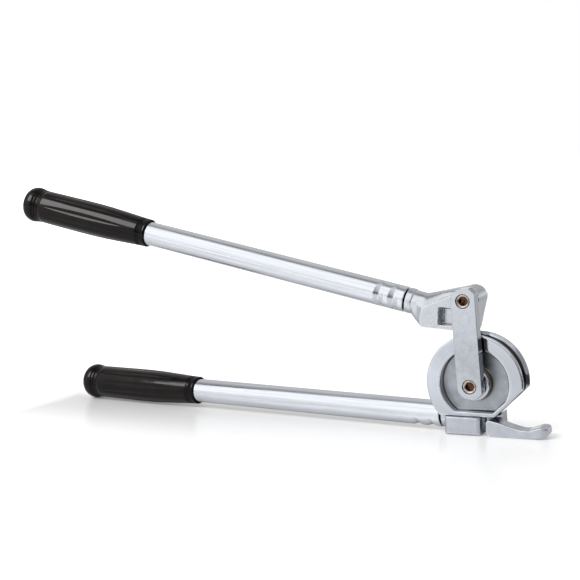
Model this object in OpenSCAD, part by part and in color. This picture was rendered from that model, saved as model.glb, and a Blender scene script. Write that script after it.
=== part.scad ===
// Lever tube bender: a grooved forming wheel on a lower handle, and a forming shoe on an upper handle,
// carried round the wheel by one link. X runs along the handles, Z is up from the foot, and the wheel's
// axis is the line x = 0, z = wheel_axis_height. Positive turns about Y are clockwise seen from the front.

/* [Tube to bend] */
// Outside diameter of the tube that the groove takes
tube_od = 12.7; // [9.5:0.1:13]
// Bend radius at the tube's centre line
bend_radius = 38.1; // [37:0.1:39]
// Extra radius of the groove over the tube
groove_clearance = 0.1; // [0.05:0.05:0.4]

/* [Forming wheel] */
// Height of the wheel's axis above the foot
wheel_axis_height = 41.7; // [41:0.1:44]
// Outside radius of the two flanges
flange_radius = 40; // [39.5:0.1:41]
// Width over both flanges
wheel_width = 22.7; // [21:0.1:24]
// Radius of the round recess in each side
recess_radius = 28.1; // [26:0.1:28.5]
// Depth of each recess
recess_depth = 7.7; // [6:0.1:8]
// Radius of the hub round the pivot
hub_radius = 13.4; // [12:0.1:15]
// How far the front hub stands proud of the flange
hub_proud = 2; // [1:0.1:3]
// Drop from the axis to the flat that sits on the yoke
seat_drop = 26.8; // [26:0.1:28]
// Wall between that flat and the recess
seat_wall = 4; // [3:0.1:5]
// Slope of the straight cut below the groove's start
cut_angle = 44; // [40:1:46]
// Drop from the axis to the corner where the cut starts
cut_drop = 3.4; // [2:0.1:4.5]
// Wall between the cut and the recess
cut_wall = 3.4; // [2.5:0.1:4.5]

/* [Handles] */
// Outside diameter of both handle tubes
handle_od = 21.3; // [20:0.1:22]
// Wall of both handle tubes
handle_wall = 2; // [1.5:0.1:2.5]
// Length of a handle, from the tube's open end to the grip's end
handle_length = 383; // [340:1:420]
// Length of the spigot inside the tube
spigot_length = 35; // [30:1:45]
// Radial clearance of the spigot in the tube
spigot_clearance = 0.05; // [0.02:0.01:0.1]
// Gap left between a tube's end and its casting's shoulder
end_gap = 1.3; // [0.5:0.1:2]
// Distance from the wheel's axis to the upper handle's axis
upper_offset = 50.9; // [49:0.1:52]
// Rise of the upper handle towards its grip, in degrees
upper_rise = 13; // [12:0.5:15]
// Distance along the upper handle from the wheel's axis to the tube's end
upper_start = 71.9; // [70:0.1:76]
// Height of the lower handle's axis below the wheel
lower_axis_height = 13.1; // [12.6:0.1:13.6]
// Distance from the wheel's axis to the lower tube's end
lower_start = 30.6; // [30:0.1:32]
// How far behind the wheel's axis the lower handle meets the wheel's middle plane
lower_root = 10; // [5:1:15]
// Sideways set of the lower handle, in degrees
lower_yaw = 7; // [5:0.5:8]
// Distance from a tube's end to its first crimp, and from the first to the second
crimp_first = 8.8; // [7:0.1:11]
crimp_pitch = 12.9; // [11:0.1:14]
// Depth of a crimp
crimp_depth = 1.6; // [0.8:0.1:1.6]
// Radius across a crimp
crimp_radius = 7.4; // [5:0.1:8]
// How far the crimping roller's circle is set off the tube's axis, which makes a crimp run out at its ends
crimp_set = 2.2; // [1.6:0.1:3]

/* [Grips] */
// Length of a grip
grip_length = 134; // [110:1:150]
// Radius at the open mouth
grip_mouth_radius = 12.5; // [12:0.1:13.5]
// Radius of the palm swell
grip_palm_radius = 15.1; // [14.5:0.1:15.5]
// Radius of the flared end
grip_flare_radius = 16.1; // [15.6:0.1:16.6]
// Length of the flared end, and of the ramp up to its full radius
grip_flare_length = 14; // [13:0.5:18]
grip_flare_ramp = 4; // [2:0.5:4]
// Radius of the rounded end
grip_dome = 8; // [5:0.5:9]
// Thickness of the closed end
grip_end_wall = 4.5; // [3:0.1:6]
// Radial clearance of the tube in the grip
grip_clearance = 0.05; // [0.02:0.01:0.1]

/* [Link] */
// Distance between the link's pivots
link_length = 68.2; // [67.5:0.1:70]
// Width of the link
link_width = 20; // [18:0.1:22]
// Thickness of the link
link_thickness = 9.5; // [8.5:0.1:11]
// Lean of the link towards the handles, in degrees
link_lean = 2.9; // [0:0.1:5]
// How far the two chamfered corners stand out past the round end
link_corner = 0.9; // [0.5:0.1:1.5]

/* [Pivots] */
// Radius of a pivot bolt's head
head_radius = 5.5; // [5:0.1:6]
// Height of the head
head_height = 3.2; // [2.8:0.1:4]
// Depth of the head below the link's face
head_sink = 0.3; // [0.1:0.1:0.6]
// Radial clearance round the head
head_clearance = 0.25; // [0.15:0.05:0.4]
// Hex socket, across flats, and its depth
socket_flats = 6; // [5:0.5:6.5]
socket_depth = 4.4; // [3:0.1:5]
// Radius of the bolt's shoulder
shoulder_radius = 4; // [4:0.1:4.2]
// Running clearance of the shoulder in its bush
running_clearance = 0.05; // [0.02:0.01:0.1]
// Wall of a bush
bush_wall = 1; // [0.8:0.1:1.2]
// Clearance of a fixed piece in its seat
seat_clearance = 0.02; // [0.01:0.01:0.05]
// Radius of the bolt's thread
thread_radius = 3.9; // [3:0.1:4]
// Thickness of a thrust washer
thrust_washer = 0.8; // [0.5:0.1:1.2]
// Outside radius of a thrust washer
thrust_radius = 9; // [7:0.1:9.5]
// Gap on each flat face that turns
face_gap = 0.05; // [0.03:0.01:0.1]
// Nut, across flats
nut_flats = 13; // [11:0.5:13]
// Height of a nut
nut_height = 7.5; // [6:0.1:8]
// Outside radius and thickness of a nut's washer
nut_washer_radius = 8; // [7.6:0.1:9]
nut_washer = 1.6; // [1:0.1:2]

/* [Forming shoe] */
// Turn of the shoe's face from level, in degrees
shoe_tilt = 3.9; // [2:0.1:5]
// Distance from the wheel's axis to the shoe's face
shoe_face = 42.1; // [41.8:0.1:42.8]
// Length of the face to the handle's side of the pivot
shoe_back = 38.4; // [36:0.1:41]
// Length of the face to the other side of the pivot
shoe_toe = 5.6; // [4:0.1:6]
// Radius of the shoe's head round the pivot
shoe_head_radius = 10; // [9.6:0.1:10.4]
// Slope of the flat side's upper edge, in degrees
shoe_ridge = 25.5; // [24:0.5:27]
// Lean of the shoe's back edge
shoe_back_lean = 2.9; // [1:0.1:4]
// Distance from the pivot to the window's near and far ends
window_near = 6.7; // [6:0.1:9]
window_far = 22.7; // [18:0.1:24]
// Height of the window's sill above the face, and the window's height
window_sill = 3.4; // [3:0.1:5]
window_height = 14.4; // [10:0.1:15]
// Depth of the window, and the draft of its upper wall in degrees
window_depth = 9; // [6:0.1:9]
window_draft = 12; // [0:1:15]
// Radius and length of the collar that the tube stops at
collar_radius = 10.5; // [10.2:0.1:10.6]
collar_length = 5.5; // [3:0.1:6]
// Radius of the neck's waist, and its distance behind the tube's end
waist_radius = 9.7; // [9.4:0.1:10.1]
waist_set = 17.3; // [15:0.1:18]

/* [Yoke] */
// Reach of the yoke's block towards the handle and towards the latch
yoke_back = 25.2; // [24:0.1:26]
yoke_front = 5.3; // [5:0.1:6]
// Half depth of the yoke, the radius of its upright edges and the chamfer along its foot
yoke_half = 14.4; // [14:0.1:15]
yoke_edge = 3.5; // [2:0.1:4]
foot_chamfer = 1.6; // [1:0.1:2.5]
// Radius of the shoulder at the lower tube
shoulder_ring = 10.4; // [10:0.1:10.8]
// Reach of the hinge lug behind the latch
lug_reach = 19.4; // [19:0.1:21]
// Height of the lug's stop tab, and its width
lug_height = 17.4; // [16:0.1:17.6]
tab_width = 4.6; // [4:0.1:5]
// Front face of the lug, and the gap between its tab and the wheel's cut
lug_face = 2; // [1.5:0.1:3]
tab_gap = 0.4; // [0.3:0.1:1]
// Distance from the wheel's axis to each seat screw
screw_near = 6.5; // [6:0.1:7]
screw_far = 18; // [16.5:0.1:19]
// Radius of a seat screw's thread, its head's radius and its head's height
screw_radius = 2.45; // [2:0.05:2.6]
screw_head_radius = 4.25; // [4:0.05:4.5]
screw_head_height = 5; // [4.5:0.1:5.5]
// Length of a seat screw's thread inside the wheel
screw_grip = 10; // [8:0.5:11]

/* [Latch] */
// Distance from the wheel's axis to the latch's hinge, and the hinge's height
latch_x = 14; // [13.5:0.1:15]
latch_z = 7.5; // [7:0.1:7.8]
// Front face of the latch
latch_front = 13.8; // [13:0.1:14]
// Reach of the latch's root behind its hinge, and the root's height
latch_root = 4.6; // [4:0.1:5]
latch_root_height = 13.4; // [12:0.1:13.6]
// Reach of the latch's tip from its hinge
latch_reach = 45.6; // [42:0.1:48]
// Height of the latch at its thin waist and at its tip
latch_waist = 6.5; // [6:0.1:7.6]
latch_tip = 9.4; // [8.7:0.1:10.1]
// Width of the tip behind the wheel's middle plane
latch_tip_back = 4.5; // [3:0.1:8]
// Height of the latch's underside above the floor
latch_lift = 0.1; // [0.05:0.05:0.3]
// Radius of the hinge pin, and of its ring groove
pin_radius = 2.5; // [2:0.1:2.8]
pin_groove_radius = 1.9; // [1.5:0.1:1.9]
// Depth of the pin inside the latch
pin_depth = 11; // [8:0.5:12]
// Washer and retaining ring on the pin: thickness and outside radius
latch_washer_t = 0.8; // [0.5:0.1:1.2]
latch_washer_r = 5; // [4.5:0.1:5.5]
clip_t = 0.8; // [0.6:0.1:1]
clip_r = 4.4; // [4:0.1:4.8]

/* [Hidden] */
$fn = 96;
hull_fn = 32;
far = 200;
eps = 0.01;

silver = [0.74, 0.76, 0.80];
plated_link = [0.71, 0.73, 0.77];
tube_steel = [0.80, 0.81, 0.83];
black_vinyl = [0.06, 0.06, 0.07];
yellow_zinc = [0.62, 0.50, 0.32];
bronze = [0.60, 0.42, 0.22];

groove_radius = tube_od / 2 + groove_clearance;
half_width = wheel_width / 2;
hub_face = -half_width - hub_proud;
link_back = hub_face - thrust_washer - 2 * face_gap;
link_front = link_back - link_thickness;
rear_face = half_width;
seat_z = wheel_axis_height - seat_drop;
tube_relief = 0.4;

handle_radius = handle_od / 2;
handle_bore = handle_radius - handle_wall;
spigot_radius = handle_bore - spigot_clearance;
tube_length = handle_length - grip_end_wall;

// The lower handle starts where it crosses the wheel's middle plane, and its flared grip rests on the floor.
lower_tube_start = (lower_start - lower_root) / cos(lower_yaw);
flare_reach = lower_tube_start + handle_length - grip_flare_length + grip_flare_ramp;
lower_rise = atan(grip_flare_radius / flare_reach)
    - asin(lower_axis_height / sqrt(pow(flare_reach, 2) + pow(grip_flare_radius, 2)));

// The shoe is drawn level, with the wheel's axis at the origin, and turned by shoe_tilt.
pivot_turn = link_lean + shoe_tilt;
pivot_x = -link_length * sin(pivot_turn);
pivot_z = link_length * cos(pivot_turn);
shoe_front = hub_face;
neck_inset = 0.3;
head_inset = 0.1;
back_strip = 3;
shoe_relief = 0.2;
ridge_touch = [pivot_x - shoe_head_radius * sin(shoe_ridge), pivot_z + shoe_head_radius * cos(shoe_ridge)];
back_foot_x = pivot_x - shoe_back;
back_top_x = back_foot_x - shoe_back_lean;
back_top_z = ridge_touch[1] - (ridge_touch[0] - back_top_x) * tan(shoe_ridge);

head_front = link_front + head_sink;
head_back = head_front + head_height;
bush_radius = shoulder_radius + running_clearance + bush_wall;
thread_end = rear_face + nut_washer + nut_height + 1;

wheel_thread_z = seat_z + screw_grip;
latch_rear_stop = yoke_half + face_gap + latch_washer_t;
latch_back = lug_face - 0.3;
pin_end_gap = 0.1;

// Shapes that lie across the tool, along its handles or in its side view

module plate(y0, y1) {
    translate([0, y1, 0]) rotate([90, 0, 0]) linear_extrude(y1 - y0) children();
}

module rod_y(r, y0, y1) {
    translate([0, y1, 0]) rotate([90, 0, 0]) cylinder(r = r, h = y1 - y0);
}

module rod_x(r, from, to) {
    translate([-to, 0, 0]) rotate([0, 90, 0]) cylinder(r = r, h = to - from);
}

module hex_y(flats, y0, y1) {
    translate([0, y1, 0]) rotate([90, 0, 0]) cylinder(d = flats / cos(30), h = y1 - y0, $fn = 6);
}

module ring_y(outer, inner, y0, y1) {
    difference() {
        rod_y(outer, y0, y1);
        rod_y(inner, y0 - 1, y1 + 1);
    }
}

// Places: each child is drawn about the origin and carried to its seat

module at_wheel() {
    translate([0, 0, wheel_axis_height]) children();
}

module at_upper_pivot() {
    at_wheel() rotate([0, -link_lean, 0]) translate([0, 0, link_length]) children();
}

module at_shoe() {
    at_wheel() rotate([0, shoe_tilt, 0]) children();
}

module at_upper_handle() {
    at_wheel() rotate([0, upper_rise, 0]) translate([0, 0, upper_offset]) children();
}

module at_lower_handle() {
    translate([-lower_root, 0, lower_axis_height]) rotate([0, 0, -lower_yaw]) rotate([0, lower_rise, 0])
        children();
}

module at_latch() {
    translate([latch_x, 0, latch_z]) children();
}

// Forming wheel

module recess_outline() {
    floor_z = -seat_drop + seat_wall;
    intersection() {
        circle(recess_radius);
        translate([-far / 2, floor_z]) square(far);
        rotate(cut_angle) translate([-far / 2, cut_line_z() + cut_wall]) square(far);
    }
}

// Height of the straight cut in a view turned level with it, negative below the axis
function cut_line_z() =
    -sqrt(pow(flange_radius, 2) - pow(cut_drop, 2)) * sin(cut_angle) - cut_drop * cos(cut_angle);

module forming_wheel() {
    color(silver) difference() {
        at_wheel() difference() {
            union() {
                difference() {
                    rod_y(flange_radius, -half_width, half_width);
                    rotate([90, 0, 0]) rotate_extrude() translate([bend_radius, 0]) circle(groove_radius);
                    plate(-half_width - 1, -half_width + recess_depth) recess_outline();
                    plate(half_width - recess_depth, half_width + 1) recess_outline();
                }
                rod_y(hub_radius, hub_face, half_width);
            }
            plate(-far, far) translate([-far / 2, -far - seat_drop]) square(far);
            plate(-far, far) rotate(cut_angle) translate([-far / 2, -far + cut_line_z()]) square(far);
            rod_y(thread_radius + seat_clearance, -far, far);
        }
        at_lower_handle() rod_x(handle_radius + tube_relief, lower_tube_start - end_gap - tube_relief, far);
        for (x = [screw_near, screw_far])
            translate([-x, 0, seat_z - 1]) cylinder(r = screw_radius + seat_clearance, h = screw_grip + 2);
    }
}

// Lower yoke, handle and grip

module yoke_plan() {
    translate([-yoke_back, yoke_edge - yoke_half])
        square([yoke_back + yoke_front, 2 * (yoke_half - yoke_edge)]);
    translate([yoke_edge - yoke_back, -yoke_half])
        square([yoke_back + yoke_front - 2 * yoke_edge, 2 * yoke_half]);
    for (x = [yoke_edge - yoke_back, yoke_front - yoke_edge], y = [-1, 1])
        translate([x, y * (yoke_half - yoke_edge)]) circle(yoke_edge);
}

module yoke_block() {
    side = yoke_half - foot_chamfer;
    intersection() {
        linear_extrude(seat_z) yoke_plan();
        translate([-yoke_back, 0, 0]) rotate([90, 0, 90]) linear_extrude(yoke_back + yoke_front) polygon([
            [-side, 0], [side, 0], [yoke_half, foot_chamfer], [yoke_half, seat_z], [-yoke_half, seat_z],
            [-yoke_half, foot_chamfer]
        ]);
    }
}

// Stop tab on the lug, cut back where the wheel's straight cut passes over it
module lug_tab() {
    difference() {
        translate([lug_reach - tab_width, lug_face, 0])
            cube([tab_width, yoke_half - lug_face, lug_height]);
        at_wheel() plate(-far, far) intersection() {
            translate([-far / 2, -seat_drop]) square(far);
            rotate(cut_angle) translate([-far / 2, cut_line_z() - tab_gap]) square(far);
        }
    }
}

module lower_yoke() {
    color(silver) difference() {
        union() {
            difference() {
                union() {
                    yoke_block();
                    translate([-yoke_front, lug_face, 0])
                        cube([yoke_front + lug_reach, yoke_half - lug_face, seat_z]);
                    at_lower_handle() rod_x(shoulder_ring, 0, lower_tube_start - end_gap);
                }
                translate([-far, -far, seat_z]) cube(2 * far);
                translate([-far, -far, -2 * far]) cube(2 * far);
            }
            lug_tab();
            at_lower_handle()
                rod_x(spigot_radius, lower_tube_start - end_gap - eps, lower_tube_start + spigot_length);
        }
        at_latch() rod_y(pin_radius + running_clearance, 0, far);
        for (x = [screw_near, screw_far]) translate([-x, 0, -1]) {
            cylinder(r = screw_radius + seat_clearance, h = far);
            cylinder(r = screw_head_radius + seat_clearance, h = screw_head_height + 2);
        }
    }
}

module yoke_screws() {
    color(yellow_zinc) for (x = [screw_near, screw_far]) translate([-x, 0, 1]) difference() {
        union() {
            cylinder(r = screw_head_radius, h = screw_head_height);
            cylinder(r = screw_radius, h = wheel_thread_z - 1);
        }
        translate([0, 0, -1])
            cylinder(d = screw_radius * 1.6 / cos(30), h = 1 + screw_head_height / 2, $fn = 6);
    }
}

module handle_tube(crimp_turn) {
    color(tube_steel) difference() {
        rod_x(handle_radius, 0, tube_length);
        rod_x(handle_bore, -1, tube_length + 1);
        for (i = [0, 1]) rotate([crimp_turn, 0, 0])
            translate([-crimp_first - i * crimp_pitch, 0, crimp_set]) rotate([0, 90, 0]) rotate_extrude()
                translate([handle_radius - crimp_depth + crimp_set + crimp_radius, 0]) circle(crimp_radius);
    }
}

module grip() {
    bore = handle_radius + grip_clearance;
    palm_x = 0.42 * grip_length;
    flare_x = grip_length - grip_flare_length;
    dome_x = grip_length - grip_dome;
    dome_r = grip_flare_radius - grip_dome;
    color(black_vinyl) rotate([0, -90, 0]) rotate_extrude() difference() {
        union() {
            polygon([
                [0, 0], [grip_mouth_radius, 0], [grip_palm_radius, palm_x], [grip_palm_radius - 0.3, flare_x],
                [grip_flare_radius, flare_x + grip_flare_ramp], [grip_flare_radius, dome_x], [0, dome_x]
            ]);
            square([dome_r, grip_length]);
            translate([dome_r, dome_x]) intersection() {
                circle(grip_dome);
                square(grip_dome);
            }
        }
        translate([-1, -1]) square([bore + 1, grip_length - grip_end_wall + 1]);
        translate([-far, -1]) square([far, far * 2]);
    }
}

module lower_handle_tube() {
    at_lower_handle() translate([-lower_tube_start, 0, 0]) handle_tube(0);
}

module lower_grip() {
    at_lower_handle() translate([-lower_tube_start - handle_length + grip_length, 0, 0]) grip();
}

module upper_handle_tube() {
    at_upper_handle() translate([-upper_start, 0, 0]) handle_tube(-90);
}

module upper_grip() {
    at_upper_handle() translate([-upper_start - handle_length + grip_length, 0, 0]) grip();
}

// Pivots

module pivot_bolt() {
    color(yellow_zinc) difference() {
        union() {
            rod_y(head_radius, head_front, head_back);
            rod_y(shoulder_radius, head_back - eps, hub_face);
            rod_y(thread_radius, hub_face - eps, thread_end);
        }
        hex_y(socket_flats, head_front - 1, head_front + socket_depth);
    }
}

module pivot_washer() {
    color(yellow_zinc)
        ring_y(nut_washer_radius, thread_radius + seat_clearance, rear_face, rear_face + nut_washer);
}

module pivot_nut() {
    color(yellow_zinc) difference() {
        hex_y(nut_flats, rear_face + nut_washer, rear_face + nut_washer + nut_height);
        rod_y(thread_radius + seat_clearance, 0, far);
    }
}

module bush() {
    color(bronze) ring_y(bush_radius, shoulder_radius + running_clearance, head_back + face_gap, link_back);
}

module thrust_ring() {
    color(bronze)
        ring_y(thrust_radius, shoulder_radius + running_clearance, link_back + face_gap, hub_face - face_gap);
}

module wheel_pivot_bolt() { at_wheel() pivot_bolt(); }
module wheel_pivot_washer() { at_wheel() pivot_washer(); }
module wheel_pivot_nut() { at_wheel() pivot_nut(); }
module shoe_pivot_bolt() { at_upper_pivot() pivot_bolt(); }
module shoe_pivot_washer() { at_upper_pivot() pivot_washer(); }
module shoe_pivot_nut() { at_upper_pivot() pivot_nut(); }
module link_lower_bush() { at_wheel() bush(); }
module link_upper_bush() { at_upper_pivot() bush(); }
module lower_thrust_washer() { at_wheel() thrust_ring(); }
module upper_thrust_washer() { at_upper_pivot() thrust_ring(); }

// Link: round on the handles' side, chamfered on the other

module link_end() {
    half = link_width / 2;
    circle(half);
    intersection() {
        square(half);
        rotate(-45) translate([-half, 0]) square([2 * half, half + link_corner]);
    }
}

module link_arm() {
    half = link_width / 2;
    color(plated_link) at_wheel() rotate([0, -link_lean, 0]) difference() {
        plate(link_front, link_back) {
            translate([-half, 0]) square([link_width, link_length]);
            translate([0, link_length]) link_end();
            mirror([0, 1]) link_end();
        }
        for (z = [0, link_length]) translate([0, 0, z]) {
            rod_y(bush_radius + seat_clearance, link_front - 1, link_back + 1);
            rod_y(head_radius + head_clearance, link_front - 1, head_back + face_gap);
        }
    }
}

// Forming shoe

module shoe_outline() {
    translate([pivot_x, pivot_z]) circle(shoe_head_radius);
    polygon([
        [back_foot_x, shoe_face], [pivot_x + shoe_toe, shoe_face], [pivot_x + shoe_head_radius, pivot_z],
        [pivot_x, pivot_z], ridge_touch, [back_top_x, back_top_z]
    ]);
}

// Strips of the back edge and of the ridge, drawn in a little so that the neck grows out of the flat sides
module shoe_back_edge() {
    polygon([
        [back_foot_x + neck_inset, shoe_face + neck_inset],
        [back_foot_x + back_strip, shoe_face + neck_inset],
        [back_top_x + back_strip, back_top_z - neck_inset],
        [back_top_x + neck_inset, back_top_z - neck_inset]
    ]);
}

module shoe_ridge_edge() {
    polygon([
        [back_top_x + neck_inset, back_top_z - neck_inset], [ridge_touch[0], ridge_touch[1] - neck_inset],
        [ridge_touch[0], ridge_touch[1] - back_strip], [back_top_x + back_strip, back_top_z - back_strip]
    ]);
}

module shoe_neck() {
    collar_start = upper_start - end_gap - collar_length;
    waist_start = upper_start - waist_set;
    hull() {
        at_upper_handle()
            rod_x(waist_radius - neck_inset, collar_start, collar_start + 1, $fn = hull_fn);
        at_shoe() plate(shoe_front + neck_inset, rear_face - neck_inset) shoe_back_edge();
    }
    hull() {
        at_upper_handle() rod_x(waist_radius - neck_inset, waist_start, waist_start + 1, $fn = hull_fn);
        at_upper_pivot()
            rod_y(shoe_head_radius - head_inset, -half_width / 2, half_width / 2, $fn = hull_fn);
        at_shoe() plate(shoe_front + neck_inset, rear_face - neck_inset) shoe_ridge_edge();
    }
    at_upper_handle() {
        rod_x(waist_radius, waist_start + 0.5, collar_start + 2);
        rod_x(collar_radius, collar_start, upper_start - end_gap);
        rod_x(spigot_radius, collar_start + 2, upper_start + spigot_length);
    }
}

module shoe_window() {
    sill_z = shoe_face + window_sill;
    intersection() {
        plate(shoe_front - 1, shoe_front + window_depth)
            translate([pivot_x - window_far, sill_z]) square([window_far - window_near, window_height]);
        translate([0, shoe_front, sill_z + window_height]) rotate([-window_draft, 0, 0])
            translate([-far, -far, -2 * far]) cube(2 * far);
    }
}

module forming_shoe() {
    color(silver) difference() {
        union() {
            at_shoe() plate(shoe_front, rear_face) shoe_outline();
            shoe_neck();
        }
        at_shoe() {
            translate([0, 0, bend_radius]) rod_x(groove_radius + shoe_relief, -far, far);
            shoe_window();
        }
        at_upper_pivot() rod_y(thread_radius + seat_clearance, -far, far);
    }
}

// Latch with its finger tip

module latch_outline() {
    foot = latch_lift - latch_z;
    top = foot + latch_root_height;
    waist = foot + latch_waist;
    tip = foot + latch_tip;
    polygon([
        [-latch_root, foot + 2.6], [-latch_root + 3.4, foot], [0.79 * latch_reach, foot],
        [0.93 * latch_reach, foot + 1.2], [0.985 * latch_reach, foot + 3.4], [latch_reach, foot + 5.4],
        [0.985 * latch_reach, tip - 0.9], [0.945 * latch_reach, tip], [0.84 * latch_reach, tip],
        [0.76 * latch_reach, tip - 1.1], [0.67 * latch_reach, waist + 0.2], [0.53 * latch_reach, waist],
        [0.38 * latch_reach, waist + 1.5], [0.14 * latch_reach, waist + 4.8], [-latch_root + 2, top],
        [-latch_root, top - 2]
    ]);
}

module latch_plan() {
    polygon([
        [-far, -latch_front], [0.88 * latch_reach, -latch_front], [0.95 * latch_reach, -latch_front + 1.1],
        [0.985 * latch_reach, -latch_front + 3], [latch_reach, -latch_front + 5.4],
        [latch_reach, latch_tip_back - 5.4], [0.985 * latch_reach, latch_tip_back - 3],
        [0.95 * latch_reach, latch_tip_back - 1.1], [0.88 * latch_reach, latch_tip_back],
        [0.8 * latch_reach, latch_tip_back], [0.6 * latch_reach, latch_back - 1.2], [-far, latch_back]
    ]);
}

module tube_latch() {
    color(silver) at_latch() difference() {
        intersection() {
            plate(-latch_front, latch_tip_back) latch_outline();
            translate([0, 0, -far]) linear_extrude(2 * far) latch_plan();
        }
        rod_y(pin_radius + seat_clearance, latch_back - pin_depth, far);
    }
}

module latch_pin() {
    groove_end = latch_rear_stop + face_gap + clip_t;
    color(yellow_zinc) at_latch() {
        rod_y(pin_radius, latch_back - pin_depth + pin_end_gap, latch_rear_stop);
        rod_y(pin_groove_radius, latch_rear_stop - eps, groove_end + eps);
        rod_y(pin_radius, groove_end, groove_end + 1);
    }
}

module latch_washer() {
    color(yellow_zinc) at_latch()
        ring_y(latch_washer_r, pin_radius + seat_clearance, yoke_half + face_gap, latch_rear_stop);
}

module latch_clip() {
    start = latch_rear_stop + face_gap / 2;
    color(yellow_zinc) at_latch() difference() {
        ring_y(clip_r, pin_groove_radius + seat_clearance, start, start + clip_t);
        translate([-pin_groove_radius * 0.8, start - 1, -far])
            cube([pin_groove_radius * 1.6, clip_t + 2, far]);
    }
}

forming_wheel();
lower_yoke();
yoke_screws();
lower_handle_tube();
lower_grip();
wheel_pivot_bolt();
wheel_pivot_washer();
wheel_pivot_nut();
link_arm();
link_lower_bush();
link_upper_bush();
lower_thrust_washer();
upper_thrust_washer();
forming_shoe();
upper_handle_tube();
upper_grip();
shoe_pivot_bolt();
shoe_pivot_washer();
shoe_pivot_nut();
tube_latch();
latch_pin();
latch_washer();
latch_clip();
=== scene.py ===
import functools
import math

import bmesh
import bpy
import numpy as np
from mathutils import Matrix, Vector


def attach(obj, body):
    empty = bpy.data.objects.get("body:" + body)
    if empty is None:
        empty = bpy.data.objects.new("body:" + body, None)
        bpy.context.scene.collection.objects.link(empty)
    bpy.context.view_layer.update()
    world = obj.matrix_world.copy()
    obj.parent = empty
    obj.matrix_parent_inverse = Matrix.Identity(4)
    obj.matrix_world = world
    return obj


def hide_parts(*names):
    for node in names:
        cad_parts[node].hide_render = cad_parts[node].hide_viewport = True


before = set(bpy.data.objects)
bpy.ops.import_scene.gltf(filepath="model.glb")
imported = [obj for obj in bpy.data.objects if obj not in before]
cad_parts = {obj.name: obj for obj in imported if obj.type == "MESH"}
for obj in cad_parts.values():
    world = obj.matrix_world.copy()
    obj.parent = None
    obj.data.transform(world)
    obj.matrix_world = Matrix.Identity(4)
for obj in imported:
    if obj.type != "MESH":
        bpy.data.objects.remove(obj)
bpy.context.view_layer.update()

# Sizes of the solids in millimetres
MM = 0.001
AXIS_HEIGHT = 41.7
LINK_LENGTH, LINK_LEAN = 68.2, 2.9
LINK_BACK, LINK_FRONT = -14.25, -23.75
HUB_FACE, REAR_FACE = -13.35, 11.35
UPPER_RISE, UPPER_OFFSET, UPPER_START = 13.0, 50.9, 71.9
LOWER_ROOT, LOWER_AXIS, LOWER_YAW, LOWER_START = 10.0, 13.1, 7.0, 30.6
TUBE_RADIUS, TUBE_BORE, TUBE_LENGTH, HANDLE_LENGTH = 10.65, 8.65, 378.5, 383.0
CRIMP_FIRST, CRIMP_PITCH = 8.8, 12.9
GRIP_LENGTH, GRIP_BORE, FLARE_RADIUS, FLARE_LENGTH, FLARE_RAMP = 134.0, 10.7, 16.1, 14.0, 4.0
LATCH_X, LATCH_Z, PIN_RADIUS = 14.0, 7.5, 2.5
THREAD_RADIUS, SHOULDER_RADIUS = 3.9, 4.0
FLANGE_FACE, RECESS_RADIUS, RECESS_FLOOR, HUB_RADIUS = 11.35, 28.1, 3.65, 13.4
BEND_RADIUS, GROOVE_RADIUS, FLANGE_RADIUS = 38.1, 6.35, 40.0
END_GAP, NUT_WASHER, NUT_WASHER_RADIUS = 1.3, 1.6, 8.0
SHOE_HALF = 13.3

# Forms and tolerances that only this scene adds, in millimetres
FLAT_SKIN = 0.3
SHOULDER_WIDTH, SHOULDER_DEPTH, SHOULDER_LEAD = 7.0, 10.0, 6.0
SHOULDER_STEP, FRONT_DROP, REAR_DROP, HEAD_FADE = 2.0, 3.4, 1.0, 16.0
FLANK_MIDDLE, FLANK_HALF, FLANK_REACH, FLANK_RISE = 12.0, 6.5, 10.4, 2.9
LIP_BEVEL, LIP_INSIDE = 2.4, 0.6
MELT_INSET = 8.0
REAM_BELOW, REAM_ABOVE = 0.6, 0.1
BORE_FIT, LUG_FIT = 0.02, 0.05
CRIMP_HALF, CRIMP_SPREAD, CRIMP_DEPTH = 4.6, 13.2, 1.6
PALM_STEP, PALM_STEPS = 2.2, 47
FLUTE_START, FLUTE_END, FLUTE_DEPTH = 20, 111, 0.6
HEAD_SINK, HEAD_HEIGHT, HEAD_RADIUS, BOLT_TAIL = 0.3, 3.2, 5.35, 8.5
SOCKET_FLATS, SOCKET_DEPTH, SOCKET_RIM, NUT_FLATS = 6.2, 4.5, 3.75, 13.0

# Counts, angles in degrees and plain factors of those forms
FLUTES, FLUTE_HALF, FLUTE_TURN = 10, 9.5, 12
CRIMP_ROUND, FLUTE_TAPER, FLUTE_ROUND = 0.9, 0.6, 0.8
RUB_PASSES, RUB_GAIN = 3, 5.0

# Points closer than this, in metres, are merged
SAME_PLACE = 1e-6


def shift(x=0.0, y=0.0, z=0.0):
    return Matrix.Translation((x * MM, y * MM, z * MM))


def turn(degrees, axis):
    return Matrix.Rotation(math.radians(degrees), 4, axis)


# Places: each piece is modelled about the origin, along X, and carried to its seat
lower_tube_start = (LOWER_START - LOWER_ROOT) / math.cos(math.radians(LOWER_YAW))
flare_reach = lower_tube_start + HANDLE_LENGTH - FLARE_LENGTH + FLARE_RAMP
lower_rise = math.degrees(
    math.atan(FLARE_RADIUS / flare_reach) - math.asin(LOWER_AXIS / math.hypot(flare_reach, FLARE_RADIUS))
)
AT_WHEEL = shift(z=AXIS_HEIGHT)
AT_SHOE_PIVOT = AT_WHEEL @ turn(-LINK_LEAN, "Y") @ shift(z=LINK_LENGTH)
AT_UPPER_TUBE = AT_WHEEL @ turn(UPPER_RISE, "Y") @ shift(x=-UPPER_START, z=UPPER_OFFSET)
AT_LOWER_ROOT = shift(-LOWER_ROOT, 0, LOWER_AXIS) @ turn(-LOWER_YAW, "Z")
AT_LOWER_TUBE = AT_LOWER_ROOT @ turn(lower_rise, "Y") @ shift(x=-lower_tube_start)
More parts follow.
